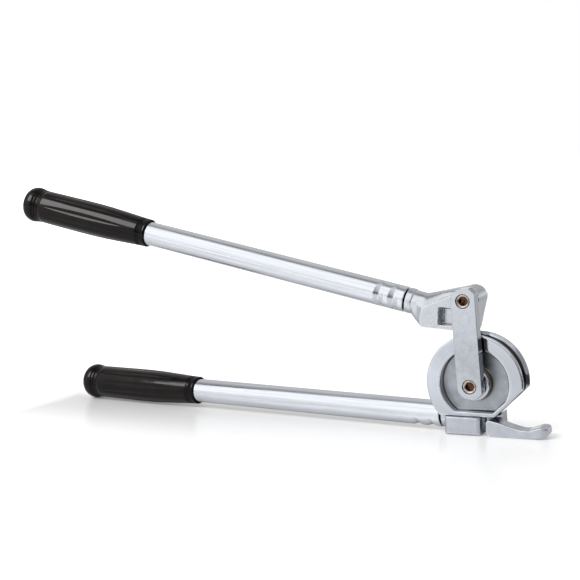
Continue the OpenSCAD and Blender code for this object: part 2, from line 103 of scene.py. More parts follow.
AT_LATCH = shift(LATCH_X, 0, LATCH_Z)
ACROSS = turn(90, "Z")


# Materials

# Settings of the nodes used most: a soft step, a product, a mix of colours and a distance along a direction
SOFT = {"interpolation_type": "SMOOTHSTEP"}
TIMES = {"operation": "MULTIPLY"}
COLOURS = {"data_type": "RGBA", "out": 2}
ALONG = {"operation": "DOT_PRODUCT", "out": "Value"}


def srgb(code):
    """A colour written as in a paint program, such as b8bcc4, in the linear values that Blender takes."""
    parts = [int(code[i:i + 2], 16) / 255 for i in (0, 2, 4)]
    return tuple(c / 12.92 if c <= 0.04045 else ((c + 0.055) / 1.055) ** 2.4 for c in parts) + (1.0,)


def add_node(tree, kind, inputs=(), out=0, **settings):
    """Adds a node with its settings and links, and gives one of its outputs.

    Inputs are named in a dictionary or follow their order in a tuple. Each is a value or a node's output.
    """
    node = tree.nodes.new("ShaderNode" + kind)
    for key, value in settings.items():
        setattr(node, key, value)
    for key, value in inputs.items() if isinstance(inputs, dict) else enumerate(inputs):
        if isinstance(value, bpy.types.NodeSocket):
            tree.links.new(value, node.inputs[key])
        else:
            node.inputs[key].default_value = value
    return node.outputs[out] if node.outputs else None


def new_material(name):
    """An empty material, the function that adds nodes to it, and its Object coordinates."""
    material = bpy.data.materials.new(name)
    material.use_nodes = True
    material.node_tree.nodes.clear()
    add = functools.partial(add_node, material.node_tree)
    return material, add, add("TexCoord", out="Object")


def zone(add, *steps, strength=1.0, unit=MM):
    """Where soft steps meet: their product. A step is a value, where it starts and ends, and its levels."""
    for value, start, stop, *levels in steps:
        step = add("MapRange", (value, start * unit, stop * unit, *levels), **SOFT)
        strength = add("Math", (strength, step), **TIMES)
    return strength


def seat_inputs(place, seat):
    """What a mapping takes to turn Object coordinates into those of a seat, such as a tube's own axis."""
    back = seat.inverted()
    return {"Vector": place, "Location": back.to_translation(), "Rotation": back.to_euler()}


def satin_plated_forging(name, dark, light, rough, seat=None, wheel=False, link=False):
    """Forged steel, shot-blasted and zinc plated: cool grey satin, convex edges painted brighter as wear and
    painted highlight, painted shade in concave corners.
    """
    material, add, place = new_material(name)
    # Forging skin: soft waves about 6 mm long
    waves = add("TexNoise", {"Vector": place, "Scale": 1 / (6 * MM), "Detail": 3.0})
    # Shot-blast grit is about 0.1 mm; drawn at 0.6 mm so that it shows in the picture
    grit = add("TexNoise", {"Vector": place, "Scale": 1 / (0.6 * MM), "Detail": 2.0})
    mixture = add("Mix", {"Factor": 0.55, "A": waves, "B": grit})
    mottle = add("MapRange", (mixture, 0.36, 0.64), **SOFT)
    colour = add("Mix", {"Factor": mottle, "A": srgb(dark), "B": srgb(light)}, **COLOURS)
    roughness = add("MapRange", (waves, 0.3, 0.7, rough - 0.04, rough + 0.05), **SOFT)
    # What is painted over the bare plating, real marks and painted shade alike, each as its mask and its
    # colour
    layers = []
    if wheel:
        axis = add("Mapping", {"Vector": place, "Location": (0, 0, -AXIS_HEIGHT * MM)})
        depth = add("Math", (add("SeparateXYZ", (axis,), out="Y"),), operation="ABSOLUTE")
        flat = add("VectorMath", (axis, (1.0, 0.0, 1.0)), **TIMES)
        radius = add("VectorMath", (flat,), operation="LENGTH", out="Value")
        # Turned flanges: tool rings drawn 0.8 mm apart
        outward = add("Math", (radius, 1 / (0.8 * MM)), **TIMES)
        rings = add("TexNoise", {"W": outward, "Scale": 1.0, "Detail": 2.0}, noise_dimensions="1D")
        ringing = add("MapRange", (rings, 0.3, 0.7), **SOFT)
        ringed = add("Mix", {"Factor": ringing, "A": srgb("bec2ca"), "B": srgb("c8ccd4")}, **COLOURS)
        turned = zone(
            add, (depth, FLANGE_FACE - 0.3, FLANGE_FACE - 0.1),
            (radius, RECESS_RADIUS + 0.2, RECESS_RADIUS + 0.6),
        )
        # Cast floor of the recess: coarser, and painted darker as the recess's shade
        recess = zone(
            add, (depth, RECESS_FLOOR + 1.0, RECESS_FLOOR + 0.2),
            (radius, RECESS_RADIUS + 0.4, RECESS_RADIUS - 0.2),
        )
        cast_floor_shade = add("Mix", {"Factor": mottle, "A": srgb("989ca4"), "B": srgb("b1b5bd")}, **COLOURS)
        roughness = add("Mix", {"Factor": recess, "A": roughness, "B": 0.36})
        # Painted shade: black low in the groove, where the groove shades itself
        groove_shade = zone(
            add, (radius, BEND_RADIUS - 0.2, BEND_RADIUS - 0.8),
            (radius, RECESS_RADIUS + 2.0, RECESS_RADIUS + 3.0),
            (depth, GROOVE_RADIUS + 0.6, GROOVE_RADIUS + 0.2), strength=0.95,
        )
        # Painted shade: brown darkening round the hub's foot
        hub_foot_shade = zone(
            add, (radius, HUB_RADIUS + 2.6, HUB_RADIUS + 0.2),
            (depth, -HUB_FACE - 0.2, -HUB_FACE - 1.2), strength=0.8,
        )
        # Painted shade: darker brown line in the corner of the recess
        recess_corner_shade = zone(
            add, (radius, RECESS_RADIUS - 1.1, RECESS_RADIUS - 0.3),
            (depth, RECESS_FLOOR + 1.6, RECESS_FLOOR + 0.4),
            (radius, RECESS_RADIUS + 1.5, RECESS_RADIUS + 0.6), strength=0.8,
        )
        layers += [(turned, ringed), (recess, cast_floor_shade), (groove_shade, srgb("1c1a1a"))]
        layers += [(hub_foot_shade, srgb("6a6159")), (recess_corner_shade, srgb("5a4a3e"))]
    rub = add("Attribute", out="Fac", attribute_name="rub")
    # Convex edges painted brighter: partly wear, partly painted highlight
    bright = zone(add, (rub, 0.12, 0.5), (waves, 0.35, 0.6, 0.35, 0.9), unit=1)
    # Painted shade: concave corners darker
    corner_shade = zone(add, (rub, -0.12, -0.5), (grit, 0.3, 0.6, 0.45, 0.9), unit=1)
    layers += [(bright, srgb("e4e6ea")), (corner_shade, srgb("8c867f"))]
    if link:
        # Painted shade: the link's inner face, towards the wheel and below its top, is painted near black
        wheel_top = AXIS_HEIGHT + FLANGE_RADIUS
        inward, upward = (add("SeparateXYZ", (place,), out=axis) for axis in "YZ")
        link_back_shade = zone(
            add, (inward, LINK_BACK - 0.5, LINK_BACK - 0.1), (upward, wheel_top + 2, wheel_top - 4),
            strength=0.92,
        )
        layers.append((link_back_shade, srgb("2c2a2a")))
    if seat is not None:
        # The bare spigot in the gap before the tube is painted dark brown
        along = add("SeparateXYZ", (add("Mapping", seat_inputs(place, seat)),), out="X")
        layers.append((zone(add, (along, END_GAP - 0.1, END_GAP - 0.35)), srgb("2a1a14")))
    for mask, paint in layers:
        colour = add("Mix", {"Factor": mask, "A": colour, "B": paint}, **COLOURS)
    slow = add("Bump", {"Height": waves, "Strength": 0.3, "Distance": 0.1 * MM})
    fine = add("Bump", {"Height": grit, "Strength": 0.4, "Distance": 0.03 * MM, "Normal": slow})
    shader = add(
        "BsdfPrincipled", {"Base Color": colour, "Metallic": 1.0, "Roughness": roughness, "Normal": fine}
    )
    add("OutputMaterial", {"Surface": shader})
    return material


def drawn_tube_steel(name, seat):
    """Drawn steel tube, zinc plated: bright satin with faint draw lines along it."""
    material, add, place = new_material(name)
    own = add("Mapping", seat_inputs(place, seat))
    # Draw lines 0.8 mm apart and 70 mm long
    lines = add("Mapping", {"Vector": own, "Scale": (1 / (70 * MM), 1 / (0.8 * MM), 1 / (0.8 * MM))})
    streaks = add("TexNoise", {"Vector": lines, "Scale": 1.0, "Detail": 2.0})
    # Plating that clouds over about 12 mm
    cloud = add("TexNoise", {"Vector": place, "Scale": 1 / (12 * MM), "Detail": 2.0})
    streaky = add("MapRange", (streaks, 0.3, 0.7), **SOFT)
    colour = add("Mix", {"Factor": streaky, "A": srgb("cbced5"), "B": srgb("dbdee4")}, **COLOURS)
    roughness = add("MapRange", (cloud, 0.3, 0.7, 0.18, 0.24), **SOFT)
    bump = add("Bump", {"Height": streaks, "Strength": 0.2, "Distance": 0.02 * MM})
    shader = add(
        "BsdfPrincipled", {"Base Color": colour, "Metallic": 1.0, "Roughness": roughness, "Normal": bump}
    )
    add("OutputMaterial", {"Surface": shader})
    return material


def moulded_vinyl(name):
    """Soft black vinyl, moulded: glossy with a faint skin and slightly browner in places."""
    material, add, place = new_material(name)
    # Moulding skin about 1.4 mm long over clouds of about 16 mm
    skin = add("TexNoise", {"Vector": place, "Scale": 1 / (1.4 * MM), "Detail": 3.0})
    cloud = add("TexNoise", {"Vector": place, "Scale": 1 / (16 * MM), "Detail": 2.0})
    browner = add("MapRange", (cloud, 0.35, 0.65), **SOFT)
    colour = add("Mix", {"Factor": browner, "A": srgb("070505"), "B": srgb("100a08")}, **COLOURS)
    roughness = add("MapRange", (cloud, 0.3, 0.7, 0.1, 0.16), **SOFT)
    bump = add("Bump", {"Height": skin, "Strength": 0.3, "Distance": 0.05 * MM})
    shader = add(
        "BsdfPrincipled",
        {"Base Color": colour, "Roughness": roughness, "Specular IOR Level": 0.17, "Normal": bump},
    )
    add("OutputMaterial", {"Surface": shader})
    return material


def plated_turning(name, dark, light, rough):
    """Turned metal with a thin coloured plating: fine tool rings that scatter the light a little."""
    material, add, place = new_material(name)
    # Plating film in patches of about 2.5 mm
    film = add("TexNoise", {"Vector": place, "Scale": 1 / (2.5 * MM), "Detail": 3.0})
    patchy = add("MapRange", (film, 0.35, 0.65), **SOFT)
    colour = add("Mix", {"Factor": patchy, "A": srgb(dark), "B": srgb(light)}, **COLOURS)
    roughness = add("MapRange", (film, 0.3, 0.7, rough - 0.05, rough + 0.06), **SOFT)
    # Tool marks about 0.3 mm apart along the piece's axis, which is Y, and 6.7 mm long across it
    around = 1 / (6.7 * MM)
    cut = add("Mapping", {"Vector": place, "Scale": (around, 1 / (0.3 * MM), around)})
    marks = add("TexNoise", {"Vector": cut, "Scale": 1.0, "Detail": 1.0})
    bump = add("Bump", {"Height": marks, "Strength": 0.2, "Distance": 0.02 * MM})
    shader = add(
        "BsdfPrincipled", {"Base Color": colour, "Metallic": 1.0, "Roughness": roughness, "Normal": bump}
    )
    add("OutputMaterial", {"Surface": shader})
    return material


wheel_steel = satin_plated_forging("plated_wheel_forging", "babec6", "c9cdd5", 0.1, wheel=True)
latch_steel = satin_plated_forging("plated_latch_forging", "bcc0c8", "ccd0d8", 0.2)
shoe_steel = satin_plated_forging("plated_shoe_forging", "bdc1c7", "cdd1d7", 0.24, seat=AT_UPPER_TUBE)
yoke_steel = satin_plated_forging("plated_yoke_forging", "b8bcc4", "c8ccd4", 0.22, seat=AT_LOWER_TUBE)
link_plate = satin_plated_forging("plated_link_bar", "b0b4bb", "c1c5cc", 0.11, link=True)
upper_tube_steel = drawn_tube_steel("bright_drawn_tube_upper", AT_UPPER_TUBE)
lower_tube_steel = drawn_tube_steel("bright_drawn_tube_lower", AT_LOWER_TUBE)
vinyl = moulded_vinyl("glossy_black_vinyl")
yellow_zinc = plated_turning("aged_yellow_zinc_steel", "aea298", "d6cdc6", 0.24)
brown_oxide = plated_turning("oiled_brown_oxide_steel", "3a2824", "54403a", 0.35)
# Painted shade for the inside of the bolts' sockets
socket_shade = plated_turning("painted_shade_in_socket", "2e1c14", "5c4434", 0.16)
bronze = plated_turning("bearing_bronze", "84603a", "a57c4c", 0.36)


# Modelling helpers

def turned_ring(profile, steps=96, closed=True):
    """Spins a profile of (along X, radius) points in millimetres about the X axis."""
    bm = bmesh.new()
    points = [bm.verts.new((a * MM, 0, r * MM)) for a, r in profile]
    pairs = list(zip(points, points[1:])) + ([(points[-1], points[0])] if closed else [])
    edges = [bm.edges.new(pair) for pair in pairs]
    bmesh.ops.spin(
        bm, geom=points + edges, cent=(0, 0, 0), axis=(1, 0, 0), dvec=(0, 0, 0), angle=math.tau, steps=steps,
        use_merge=True,
    )
    bmesh.ops.remove_doubles(bm, verts=bm.verts, dist=SAME_PLACE)
    bmesh.ops.recalc_face_normals(bm, faces=bm.faces)
    return bm


def push_to_hex(bm, along, radii, flats):
    """Moves the rings between two radii and two places along X out to a hexagon."""
    for v in bm.verts:
        r = math.hypot(v.co.y, v.co.z) / MM
        if along[0] <= v.co.x / MM <= along[1] and radii[0] <= r <= radii[1]:
            angle = math.atan2(v.co.z, v.co.y)
            fold = (angle + math.pi / 6) % (math.pi / 3) - math.pi / 6
            scale = flats / 2 / math.cos(fold) / r
            v.co.y *= scale
            v.co.z *= scale


def piece(name, bm, place, body, material, node, sharp):
    """Carries a mesh to its seat and makes it an object that rides on a body in place of a CAD node."""
    bmesh.ops.transform(bm, matrix=place, verts=bm.verts)
    mesh = bpy.data.meshes.new(name)
    bm.to_mesh(mesh)
    bm.free()
    mesh.shade_smooth()
    mesh.set_sharp_from_angle(angle=math.radians(sharp))
    mesh.materials.append(material)
    obj = bpy.data.objects.new(name, mesh)
    bpy.context.collection.objects.link(obj)
    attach(obj, body)
    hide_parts(node)
    return obj


def cad_copy(node):
    bm = bmesh.new()
    bm.from_mesh(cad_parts[node].data)
    bmesh.ops.remove_doubles(bm, verts=bm.verts, dist=SAME_PLACE)
    return bm


def even_copy(node, cell):
    """A copy of a solid in small even faces, with its edges kept."""
    bm = cad_copy(node)
    mesh = bpy.data.meshes.new(node + "_rough")
    bm.to_mesh(mesh)
    bm.free()
    rough = bpy.data.objects.new(node + "_rough", mesh)
    bpy.context.collection.objects.link(rough)
    remesh = rough.modifiers.new("skin", "REMESH")
    remesh.mode = "SHARP"
    remesh.octree_depth = 8
    remesh.scale = max(rough.dimensions) / (2 ** remesh.octree_depth * cell * MM)
    depsgraph = bpy.context.evaluated_depsgraph_get()
    even = bpy.data.meshes.new_from_object(rough.evaluated_get(depsgraph))
    bm = bmesh.new()
    bm.from_mesh(even)
    bpy.data.objects.remove(rough)
    bpy.data.meshes.remove(mesh)
    bpy.data.meshes.remove(even)
    return bm


def mark_edges_and_corners(obj):
    """Writes how far each point stands out from its neighbours, positive on edges and negative in corners."""
    mesh = obj.data
    count = len(mesh.vertices)
    points = np.empty(count * 3)
    normals = np.empty(count * 3)
    ends = np.empty(len(mesh.edges) * 2, dtype=np.int64)
    mesh.vertices.foreach_get("co", points)
    mesh.vertices.foreach_get("normal", normals)
    mesh.edges.foreach_get("vertices", ends)
    points, normals, ends = points.reshape(-1, 3), normals.reshape(-1, 3), ends.reshape(-1, 2)
    degree = np.bincount(ends.ravel(), minlength=count).astype(float)

    def around(values):
        total = np.zeros_like(values)
        np.add.at(total, ends[:, 0], values[ends[:, 1]])
        np.add.at(total, ends[:, 1], values[ends[:, 0]])
        return total / (degree if values.ndim == 1 else degree[:, None])

    span = np.linalg.norm(points[ends[:, 0]] - points[ends[:, 1]], axis=1).mean()
    rub = ((points - around(points)) * normals).sum(axis=1) / span
    for _ in range(RUB_PASSES):
        rub = 0.5 * rub + 0.5 * around(rub)
    attribute = mesh.attributes.new("rub", "FLOAT", "POINT")
    attribute.data.foreach_set("value", np.clip(rub * RUB_GAIN, -1.0, 1.0))


def ream(bm, seat, radius):
    """Opens a bore along Y back to its size after the smoothing closed it a little."""
    inverse = seat.inverted()
    for v in bm.verts:
        local = inverse @ v.co
        r = math.hypot(local.x, local.z) / MM
        if radius - REAM_BELOW < r < radius + REAM_ABOVE:
            local.x *= radius / r
            local.z *= radius / r
            v.co = seat @ local


# Forgings

def soften(bm, verts, passes):
    for _ in range(passes):
        bmesh.ops.smooth_vert(bm, verts=verts, factor=0.5, use_axis_x=True, use_axis_y=True, use_axis_z=True)


def melt(bm, seat, left, right, passes, side=math.inf):
    """Smooths a stretch along X again, more in its middle, so that its forms flow into one another.

    Points farther to the side, such as those of a flat, keep their places.
    """
    inverse = seat.inverted()
    places = [(v, (inverse @ v.co) / MM) for v in bm.verts]
    free = [(v, p.x) for v, p in places if abs(p.y) < side]
    for i in range(passes):
        inset = MELT_INSET * i / passes
        soften(bm, [v for v, x in free if left + inset < x < right - inset], 1)


def hollow_flank(bm):
    """Draws in the shoe's flank between its collar and its flat, so that the flat ends in its own edge."""
    inverse = AT_UPPER_TUBE.inverted()
    for v in bm.verts:
        local = inverse @ v.co
        along = (local.x / MM - FLANK_MIDDLE) / FLANK_HALF
        if -1.0 < along < 1.0:
            rise = max(0.0, along)
            reach = (FLANK_REACH + FLANK_RISE * rise * rise * (3 - 2 * rise)) * MM
            if abs(local.y) > reach:
                local.y = math.copysign(reach, local.y)
                v.co = AT_UPPER_TUBE @ local


def round_shoulder(bm):
    """Rounds the shoe's back down to its flat sides, more on the link's side and not at the head's end."""
    inverse = AT_UPPER_TUBE.inverted()
    places = [(v, (inverse @ v.co) / MM) for v in bm.verts]
    flat = [p for v, p in places if abs(p.y) > SHOE_HALF - FLAT_SKIN]
    steps = np.arange(min(p.x for p in flat), max(p.x for p in flat), SHOULDER_STEP)
    crest = [
        max((p.z for p in flat if abs(p.x - step) < SHOULDER_STEP / 2), default=0.0) for step in steps
    ]
    for v, p in places:
        out = (abs(p.y) - SHOE_HALF + SHOULDER_WIDTH) / SHOULDER_WIDTH
        near = 1 - (np.interp(p.x, steps, crest) - p.z) / SHOULDER_DEPTH
        start = min(1.0, (p.x - steps[0] + SHOULDER_LEAD) / SHOULDER_WIDTH)
        end = min(1.0, (steps[-1] - p.x) / HEAD_FADE)
        if min(out, near, start, end) > 0:
            drop = FRONT_DROP if p.y < 0 else REAR_DROP
            p.z -= drop * out * out * min(near, 1.0) * start * end
            v.co = AT_UPPER_TUBE @ (p * MM)


def shoe_form(bm):
    hollow_flank(bm)
    round_shoulder(bm)


def flare_lips(bm):
    """Bevels the two lips of the wheel's groove."""
    inverse = AT_WHEEL.inverted()
    for v in bm.verts:
        local = inverse @ v.co
        r, y = math.hypot(local.x, local.z) / MM, abs(local.y) / MM
        if r > FLANGE_RADIUS - LIP_BEVEL and GROOVE_RADIUS - LIP_INSIDE < y < GROOVE_RADIUS + LIP_BEVEL:
            local.y = math.copysign(max(y, GROOVE_RADIUS + LIP_BEVEL - (FLANGE_RADIUS - r)) * MM, local.y)
            v.co = AT_WHEEL @ local


def forging(name, node, body, material, cell, passes, bore_seat, bore, shape=None, melted=None):
    """A copy of a solid with every edge rounded as a forging's is, by small faces and smoothing."""
    bm = even_copy(node, cell)
    if shape:
        shape(bm)
    soften(bm, bm.verts[:], passes)
    if melted:
        melt(bm, **melted)
    ream(bm, bore_seat, bore)
    mark_edges_and_corners(piece(name, bm, Matrix(), body, material, node, sharp=60))


forging(
    "forming_wheel_forging", "forming_wheel", "frame", wheel_steel, cell=0.5, passes=12,
    bore_seat=AT_WHEEL, bore=THREAD_RADIUS + BORE_FIT, shape=flare_lips,
)
forging(
    "yoke_forging", "lower_yoke", "frame", yoke_steel, cell=0.45, passes=16,
    bore_seat=AT_LATCH, bore=PIN_RADIUS + LUG_FIT,
)
forging(
    "shoe_forging", "forming_shoe", "handle", shoe_steel, cell=0.42, passes=8,
    bore_seat=AT_SHOE_PIVOT, bore=THREAD_RADIUS + BORE_FIT, shape=shoe_form,
    melted={"seat": AT_UPPER_TUBE, "left": 7.0, "right": 32.0, "passes": 80, "side": SHOE_HALF - FLAT_SKIN},
)
forging(
    "latch_forging", "tube_latch", "latch", latch_steel, cell=0.36, passes=8,
    bore_seat=AT_LATCH, bore=PIN_RADIUS + BORE_FIT,
    melted={"seat": AT_LATCH, "left": 26.0, "right": 70.0, "passes": 24},
)


# Link: a flat bar with lightly broken edges

link = cad_copy("link_arm")
bmesh.ops.dissolve_limit(link, angle_limit=math.radians(1), verts=link.verts, edges=link.edges)
link_bar = piece("link_bar", link, Matrix(), "link", link_plate, "link_arm", sharp=30)
edge = link_bar.modifiers.new("broken_edges", "BEVEL")
edge.width = 0.9 * MM
edge.segments = 3
edge.limit_method = "ANGLE"
edge.angle_limit = math.radians(35)


# Handle tubes with their crimps

def handle_tube(name, place, body, material, node, crimped):
    """A tube from its open end, dented twice where it is crimped on its spigot."""
    # Rings 0.5 mm apart over the crimps, then eight long stretches
    near = [1.0 + 0.5 * i for i in range(64)]
    far = [TUBE_LENGTH * k / 8 for k in range(1, 9)]
    outside = [(0.0, 10.2), (0.2, 10.5), (0.55, TUBE_RADIUS)] + [(s, TUBE_RADIUS) for s in near + far]
    inside = [(TUBE_LENGTH, TUBE_BORE), (40.0, TUBE_BORE), (0.3, TUBE_BORE), (0.0, TUBE_BORE + 0.3)]
    bm = turned_ring([(-s, r) for s, r in outside + inside], steps=128)
    for v in bm.verts:
        r = math.hypot(v.co.y, v.co.z) / MM
        if r < TUBE_BORE + 1:
            continue
        facing = (v.co.y * crimped[0] + v.co.z * crimped[1]) / (r * MM)
        away = math.acos(max(-1.0, min(1.0, facing))) * TUBE_RADIUS
        for k in (0, 1):
            along = abs(-v.co.x / MM - CRIMP_FIRST - k * CRIMP_PITCH)
            reach = CRIMP_HALF * math.sqrt(max(0.0, 1 - (away / CRIMP_SPREAD) ** 2))
            if along < reach:
                scale = 1 - CRIMP_DEPTH * (reach / CRIMP_HALF) * (1 - along / reach) ** CRIMP_ROUND / r
                v.co.y *= scale
                v.co.z *= scale
    piece(name, bm, place, body, material, node, sharp=50)


FRONT, UNDERSIDE = (-1, 0), (0, -1)
handle_tube("upper_tube", AT_UPPER_TUBE, "handle", upper_tube_steel, "upper_handle_tube", FRONT)
handle_tube("lower_tube", AT_LOWER_TUBE, "frame", lower_tube_steel, "lower_handle_tube", UNDERSIDE)


# Grips: ringed at both ends, fluted along the palm

GRIP_BODY = [
    (9.6, 12.8), (16, 13.2), (25, 13.75), (34, 14.2), (43, 14.65), (56, 15.0), (70, 15.08), (113.6, 14.9),
]


def palm_radius(s):
    for (s0, r0), (s1, r1) in zip(GRIP_BODY, GRIP_BODY[1:]):
        if s <= s1:
            return r0 + (r1 - r0) * (s - s0) / (s1 - s0)
    return GRIP_BODY[-1][1]


def vinyl_grip(name, place, body, node):
    """A grip from its open lip to its closed flare, with ten shallow flutes along the palm."""
    lip = [(0.9, GRIP_BORE), (0.25, 11.2), (0.0, 11.8), (0.2, 12.3), (0.8, 12.55), (1.5, 12.5)]
    ring_places = (2.2, 2.8, 3.4, 4.7, 5.3, 5.9, 7.2, 7.8, 8.4)
    rings = [(s, 12.45 + 0.03 * s - (0.4 if i % 2 else 0)) for i, s in enumerate(ring_places)]
    palm_places = [GRIP_BODY[0][0] + PALM_STEP * i for i in range(PALM_STEPS)]
    palm = [(s, palm_radius(s)) for s in palm_places]
    collar = [
        (113.4, 14.85), (113.9, 14.4), (114.5, 14.4), (115.0, 14.95), (116.2, 15.0), (116.7, 14.5),
        (117.3, 14.5), (117.8, 15.15), (119.2, 15.35), (119.6, 14.95), (120.2, 14.95), (120.7, 15.6),
    ]
    flare = [
        (122.0, 15.9), (123.4, FLARE_RADIUS), (124.6, 16.08), (126.0, 15.9), (127.6, 15.4), (129.2, 14.6),
        (130.6, 13.4), (131.8, 11.8), (132.8, 9.8), (133.5, 7.4), (133.9, 4.8), (134.0, 2.4), (134.0, 0.0),
    ]
    inside = [(129.5, 0.0), (129.5, GRIP_BORE - 0.4), (129.1, GRIP_BORE), (70.0, GRIP_BORE)]
    profile = inside + lip + rings + palm + collar + flare
    bm = turned_ring([(-s, r) for s, r in profile], steps=160, closed=False)
    pitch = math.tau / FLUTES
    for v in bm.verts:
        r = math.hypot(v.co.y, v.co.z) / MM
        s = -v.co.x / MM
        if r < GRIP_BORE + 0.5 or not FLUTE_START < s < FLUTE_END:
            continue
        fill = math.sin(math.pi * (s - FLUTE_START) / (FLUTE_END - FLUTE_START)) ** FLUTE_TAPER
        half = math.radians(FLUTE_HALF) * fill
        angle = math.atan2(v.co.z, -v.co.y) - math.radians(FLUTE_TURN)
        angle = (angle + pitch / 2) % pitch - pitch / 2
        if abs(angle) < half:
            scale = 1 - FLUTE_DEPTH * fill * (1 - abs(angle) / half) ** FLUTE_ROUND / r
            v.co.y *= scale
            v.co.z *= scale
    seat = place @ shift(x=GRIP_LENGTH - HANDLE_LENGTH)
    return piece(name, bm, seat, body, vinyl, node, sharp=50)


upper_vinyl = vinyl_grip("upper_vinyl_grip", AT_UPPER_TUBE, "handle", "upper_grip")
lower_vinyl = vinyl_grip("lower_vinyl_grip", AT_LOWER_TUBE, "frame", "lower_grip")


# Pivots: socket-head shoulder bolts in front, lock nuts behind

def pivot_bolt(name, seat, body, node):
    face = LINK_FRONT + HEAD_SINK
    back = face + HEAD_HEIGHT
    tail = REAR_FACE + NUT_WASHER + BOLT_TAIL
    bm = turned_ring([
        (face + 4.4, 0.0), (face + 4.2, 3.1), (face + 4.0, 3.3), (face + 1.0, 3.3), (face + 0.85, 3.7),
        (face + 0.1, 4.4), (face, 4.65), (face, 4.9), (face + 0.12, 5.15), (face + 0.4, HEAD_RADIUS),
        (back, HEAD_RADIUS), (back, SHOULDER_RADIUS), (HUB_FACE, SHOULDER_RADIUS), (HUB_FACE, THREAD_RADIUS),
        (tail - 0.6, THREAD_RADIUS), (tail, 3.3), (tail, 0.0),
    ], closed=False)
    push_to_hex(bm, along=(face + 0.95, face + 4.1), radii=(3.2, 3.4), flats=SOCKET_FLATS)
    # The socket's faces take the second material, which paints shade in the socket
    for f in bm.faces:
        middle = f.calc_center_median()
        if middle.x < (face + SOCKET_DEPTH) * MM and math.hypot(middle.y, middle.z) < SOCKET_RIM * MM:
            f.material_index = 1
    bolt = piece(name, bm, seat @ ACROSS, body, yellow_zinc, node, sharp=30)
    bolt.data.materials.append(socket_shade)


def lock_nut(name, seat, body, node):
    base = REAR_FACE + NUT_WASHER
    hole = THREAD_RADIUS + BORE_FIT
    bm = turned_ring([
        (base, hole), (base, 6.2), (base + 0.4, 6.9), (base + 6.8, 6.9), (base + 7.3, 6.2),
        (base + 7.5, 5.8), (base + 7.5, 4.4), (base + 7.2, hole),
    ])
    push_to_hex(bm, along=(base + 0.3, base + 6.9), radii=(6.8, 7.0), flats=NUT_FLATS)
    piece(name, bm, seat @ ACROSS @ turn(30, "X"), body, brown_oxide, node, sharp=30)


def nut_washer(name, seat, body, node):
    low, high = REAR_FACE, REAR_FACE + NUT_WASHER
    hole, rim = THREAD_RADIUS + BORE_FIT, NUT_WASHER_RADIUS
    bm = turned_ring([
        (low, hole), (low, rim - 0.3), (low + 0.2, rim), (high - 0.35, rim), (high, rim - 0.45), (high, hole),
    ])
    piece(name, bm, seat @ ACROSS, body, brown_oxide, node, sharp=30)


for pivot, seat, body in (("wheel", AT_WHEEL, "frame"), ("shoe", AT_SHOE_PIVOT, "handle")):
    pivot_bolt(pivot + "_shoulder_bolt", seat, body, pivot + "_pivot_bolt")
    lock_nut(pivot + "_lock_nut", seat, body, pivot + "_pivot_nut")
    nut_washer(pivot + "_rear_washer", seat, body, pivot + "_pivot_washer")

# Small pieces that keep their solid's shape
bearings = ("link_lower_bush", "link_upper_bush", "lower_thrust_washer", "upper_thrust_washer")
fasteners = ("yoke_screws", "latch_pin", "latch_washer", "latch_clip")
for nodes, material in ((bearings, bronze), (fasteners, yellow_zinc)):
    for node in nodes:
        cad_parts[node].data.materials.clear()
        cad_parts[node].data.materials.append(material)


# Studio: a pale sheet, white paper behind, a large white window at the left front, grey at the right front

# Directions on the floor: across the lower handle, to the sheet's right edge, and to the right front
BEHIND_HANDLE, TO_EDGE, TO_FRONT = (0.122, 0.9925, 0.0), (0.94, -0.34, 0.0), (0.75, -0.66, 0.0)
# Brightness of the room's parts, where 1 is white
GREY_SIDE, WINDOW, ROUND_LAMP, BACKDROP = 0.42, 0.88, 1.38, 1.0


